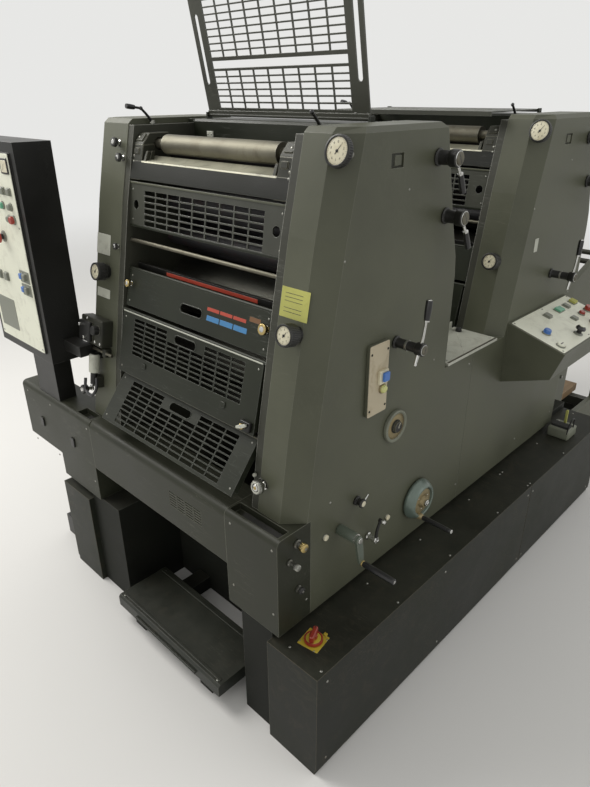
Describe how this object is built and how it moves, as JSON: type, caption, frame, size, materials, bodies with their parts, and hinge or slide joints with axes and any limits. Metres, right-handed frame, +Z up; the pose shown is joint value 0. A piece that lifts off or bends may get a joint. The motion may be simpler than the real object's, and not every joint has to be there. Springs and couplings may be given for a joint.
{
  "type": "two colour sheet-fed offset printing press",
  "caption": "Sheet-fed offset printing press with printing units under side housings, slotted guards, a swing-up ink guard, levers, cranks, console, delivery and feeder.",
  "frame": {"origin": "on the underside of the machine bed, on the bay's centre line, 1 m in from the delivery end of the foot plinths", "axes": "+X along the machine from the delivery to the feeder, +Y across from the operator's side to the drive side, +Z up"},
  "size_m": [2.658, 1.614, 1.9637],
  "materials": {
    "plinth_enamel": "dark enamel, worn pale along the edges",
    "bed_iron": "dark painted casting",
    "board_grey": "scuffed satin paint",
    "frame_iron": "painted casting",
    "housing_enamel": "satin hammer enamel",
    "guard_enamel": "satin enamel",
    "pale_plate": "pale enamel",
    "duct_steel": "ground steel, ink stained",
    "roller_steel": "ground, dull and ink stained",
    "roller_rubber": "ink stained rubber",
    "cylinder_steel": "ground steel",
    "lever_black": "black enamel on steel",
    "wheel_enamel": "blue grey enamel",
    "switch_red": "moulded",
    "dial_white": "white face in a black rim",
    "console_enamel": "pale enamel panel on a dark case",
    "cabinet_black": "black satin paint",
    "pedal_grey": "grey enamel, scuffed",
    "pile_board": "plywood"
  },
  "bodies": {
    "press": {"foot_plinth_operator": "plinth_enamel", "foot_plinth_drive": "plinth_enamel", "machine_bed": "bed_iron", "delivery_well_rails": "bed_iron", "delivery_board": "board_grey", "side_frame_operator": "frame_iron", "side_frame_drive": "frame_iron", "operator_housing_2": "housing_enamel", "operator_housing_1": "housing_enamel", "drive_housing_2": "housing_enamel", "drive_housing_1": "housing_enamel", "delivery_box_operator": "housing_enamel", "delivery_box_drive": "housing_enamel", "delivery_cross_cover": "housing_enamel", "saddle_tray": "pale_plate", "unit_top_covers": "guard_enamel", "unit_back_covers": "guard_enamel", "ink_grilles": "guard_enamel", "ink_ducts": "duct_steel", "ink_rollers": "roller_rubber", "press_cylinders": "cylinder_steel", "unit_1_guards": "guard_enamel", "ink_guard_closed": "guard_enamel", "scale_dials": "dial_white", "side_controls": "pale_plate", "console": "console_enamel", "control_cabinet": "cabinet_black", "cabinet_carrier": "cabinet_black", "foot_pedal": "pedal_grey", "drive_motor": "cabinet_black", "feeder_side_operator": "housing_enamel", "feeder_side_drive": "housing_enamel", "feeder_ties": "frame_iron", "feed_table": "duct_steel", "feed_pile_board": "pile_board", "suction_head": "guard_enamel"},
    "plate_guard": {"plate_guard": "guard_enamel"},
    "blanket_guard": {"blanket_guard": "guard_enamel"},
    "delivery_guard": {"delivery_guard": "guard_enamel"},
    "ink_guard": {"ink_guard_open": "guard_enamel"},
    "fountain_roller_2": {"fountain_roller_2": "roller_steel"},
    "fountain_roller_1": {"fountain_roller_1": "roller_steel"},
    "hand_wheel": {"hand_wheel": "wheel_enamel"},
    "crank": {"crank": "lever_black"},
    "short_crank": {"short_crank": "lever_black"},
    "main_switch": {"main_switch": "switch_red"},
    "upper_lever_2": {"upper_lever_2": "lever_black"},
    "lower_lever_2": {"lower_lever_2": "lever_black"},
    "impression_lever_2": {"impression_lever_2": "lever_black"},
    "upper_lever_1": {"upper_lever_1": "lever_black"},
    "lower_lever_1": {"lower_lever_1": "lever_black"},
    "impression_lever_1": {"impression_lever_1": "lever_black"}
  },
  "joints": [
    {"name": "plate_guard_swing", "type": "hinge", "parent": "press", "child": "plate_guard", "pos_m": [-0.817, 0, 1.222], "axis": [0, 1, 0], "range_deg": [0, 50]},
    {"name": "blanket_guard_swing", "type": "hinge", "parent": "press", "child": "blanket_guard", "pos_m": [-0.857, 0, 1.102], "axis": [0, 1, 0], "range_deg": [0, 50]},
    {"name": "delivery_guard_swing", "type": "hinge", "parent": "press", "child": "delivery_guard", "pos_m": [-0.882, 0, 0.899], "axis": [0, 1, 0], "range_deg": [0, 45]},
    {"name": "ink_guard_swing", "type": "hinge", "parent": "press", "child": "ink_guard", "pos_m": [-0.48, 0, 1.639], "axis": [0, 1, 0], "range_deg": [-79, 0]},
    {"name": "fountain_roller_2_turn", "type": "hinge", "parent": "press", "child": "fountain_roller_2", "pos_m": [-0.702, 0, 1.568], "axis": [0, 1, 0], "continuous": true},
    {"name": "fountain_roller_1_turn", "type": "hinge", "parent": "press", "child": "fountain_roller_1", "pos_m": [0.232, 0, 1.568], "axis": [0, 1, 0], "continuous": true},
    {"name": "hand_wheel_turn", "type": "hinge", "parent": "press", "child": "hand_wheel", "pos_m": [-0.378, -0.476, 0.54], "axis": [0, -1, 0], "continuous": true},
    {"name": "crank_turn", "type": "hinge", "parent": "press", "child": "crank", "pos_m": [-0.752, -0.476, 0.627], "axis": [0, -1, 0], "continuous": true},
    {"name": "short_crank_turn", "type": "hinge", "parent": "press", "child": "short_crank", "pos_m": [-0.621, -0.476, 0.53], "axis": [0, -1, 0], "continuous": true},
    {"name": "main_switch_turn", "type": "hinge", "parent": "press", "child": "main_switch", "pos_m": [-0.91, -0.53, 0.374], "axis": [0, 0, 1], "range_deg": [0, 90]},
    {"name": "upper_lever_2_turn", "type": "hinge", "parent": "press", "child": "upper_lever_2", "pos_m": [-0.416, -0.476, 1.556], "axis": [0, -1, 0], "range_deg": [-35, 50]},
    {"name": "lower_lever_2_turn", "type": "hinge", "parent": "press", "child": "lower_lever_2", "pos_m": [-0.36, -0.476, 1.41], "axis": [0, -1, 0], "range_deg": [-35, 50]},
    {"name": "impression_lever_2_turn", "type": "hinge", "parent": "press", "child": "impression_lever_2", "pos_m": [-0.544, -0.476, 1.113], "axis": [0, -1, 0], "range_deg": [-55, 15]},
    {"name": "upper_lever_1_turn", "type": "hinge", "parent": "press", "child": "upper_lever_1", "pos_m": [0.518, -0.476, 1.556], "axis": [0, -1, 0], "range_deg": [-35, 50]},
    {"name": "lower_lever_1_turn", "type": "hinge", "parent": "press", "child": "lower_lever_1", "pos_m": [0.574, -0.476, 1.41], "axis": [0, -1, 0], "range_deg": [-35, 50]},
    {"name": "impression_lever_1_turn", "type": "hinge", "parent": "press", "child": "impression_lever_1", "pos_m": [0.39, -0.476, 1.113], "axis": [0, -1, 0], "range_deg": [-55, 15]}
  ]
}
